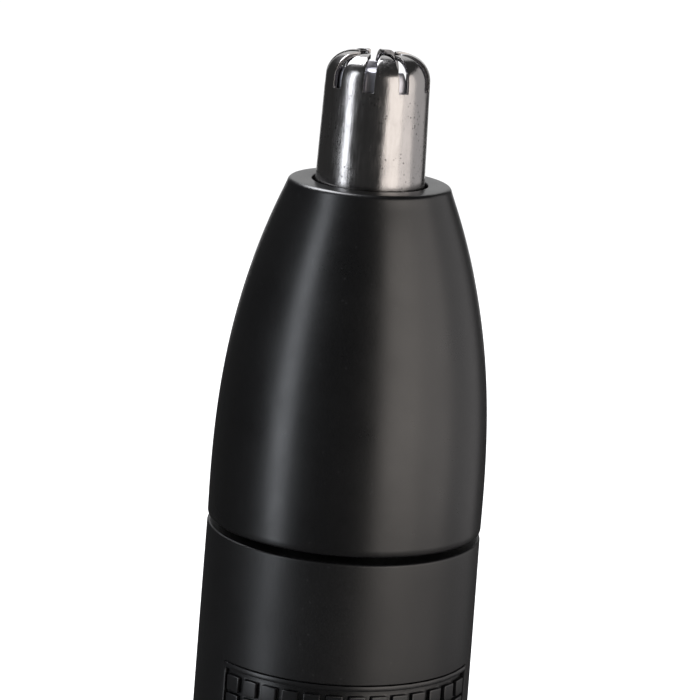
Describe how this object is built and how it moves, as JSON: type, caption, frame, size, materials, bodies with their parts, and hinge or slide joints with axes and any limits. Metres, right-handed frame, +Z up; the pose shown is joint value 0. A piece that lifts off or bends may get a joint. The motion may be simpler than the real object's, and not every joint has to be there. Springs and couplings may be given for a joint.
{
  "type": "nose hair trimmer",
  "caption": "Slim battery trimmer: domed slotted steel cutting head on a tapered black cover, barrel handle with pad grip, thumb switch and battery cap.",
  "frame": {"origin": "centre of the battery cap's flat base, on the surface the trimmer stands on", "axes": "+Z up the trimmer's axis to the cutting head, -Y towards the switch, +X to the right of the switch"},
  "size_m": [0.025, 0.0265, 0.14],
  "materials": {
    "matt_black": "satin black moulding",
    "soft_grip": "matt soft grip with raised pads",
    "steel": "polished stainless steel with fine brushing",
    "zinc": "zinc plated",
    "brass": "plain",
    "white_acetal": "natural acetal moulding",
    "grey_plastic": "plain moulding",
    "seal_rubber": "matt",
    "cell_label": "printed sleeve, no lettering"
  },
  "bodies": {
    "handle": {"body_shell": "matt_black", "grip_panel": "soft_grip", "switch_plate": "matt_black", "chassis_frame": "grey_plastic", "motor_mount": "grey_plastic", "motor_can": "zinc", "motor_end_cap": "white_acetal", "motor_terminal_left": "brass", "motor_terminal_right": "brass", "motor_screw_left": "zinc", "motor_screw_right": "zinc", "neck_ring": "matt_black", "shaft_bush": "brass", "shaft_seal": "seal_rubber", "positive_contact": "zinc", "negative_strip": "brass", "switch_terminal": "brass"},
    "switch": {"switch_button": "matt_black", "switch_carrier": "white_acetal", "switch_contact": "brass"},
    "rotor": {"motor_shaft": "steel", "drive_coupling": "white_acetal", "drive_shaft": "steel", "blade_spring": "steel", "blade_holder": "white_acetal", "inner_blade": "steel"},
    "head_ring": {"neck_seal": "seal_rubber"},
    "head": {"head_cover": "matt_black", "cover_insert": "grey_plastic", "outer_blade": "steel", "blade_seat": "grey_plastic"},
    "cap_ring": {"cap_seal": "seal_rubber"},
    "cap": {"battery_cap": "matt_black", "contact_spring": "zinc"},
    "cell": {"battery_cell": "cell_label"}
  },
  "joints": [
    {"name": "rotor_spin", "type": "hinge", "parent": "handle", "child": "rotor", "pos_m": [0, 0, 0.09], "axis": [0, 0, 1], "continuous": true},
    {"name": "switch_slide", "type": "slide", "parent": "handle", "child": "switch", "axis": [0, 0, 1], "range_m": [0, 0.004]},
    {"name": "head_turn", "type": "hinge", "parent": "handle", "child": "head_ring", "pos_m": [0, 0, 0.0985], "axis": [0, 0, 1], "range_deg": [0, 40]},
    {"name": "head_lift", "type": "slide", "parent": "head_ring", "child": "head", "axis": [0, 0, 1], "range_m": [0, 0.05]},
    {"name": "cap_turn", "type": "hinge", "parent": "handle", "child": "cap_ring", "pos_m": [0, 0, 0.014], "axis": [0, 0, 1], "range_deg": [-40, 0]},
    {"name": "cap_pull", "type": "slide", "parent": "cap_ring", "child": "cap", "axis": [0, 0, -1], "range_m": [0, 0.065]},
    {"name": "cell_slide", "type": "slide", "parent": "handle", "child": "cell", "axis": [0, 0, -1], "range_m": [0, 0.06]}
  ],
  "couplings": [
    {"joint": "cell_slide", "follows": "cap_pull", "ratio": 0.9}
  ]
}
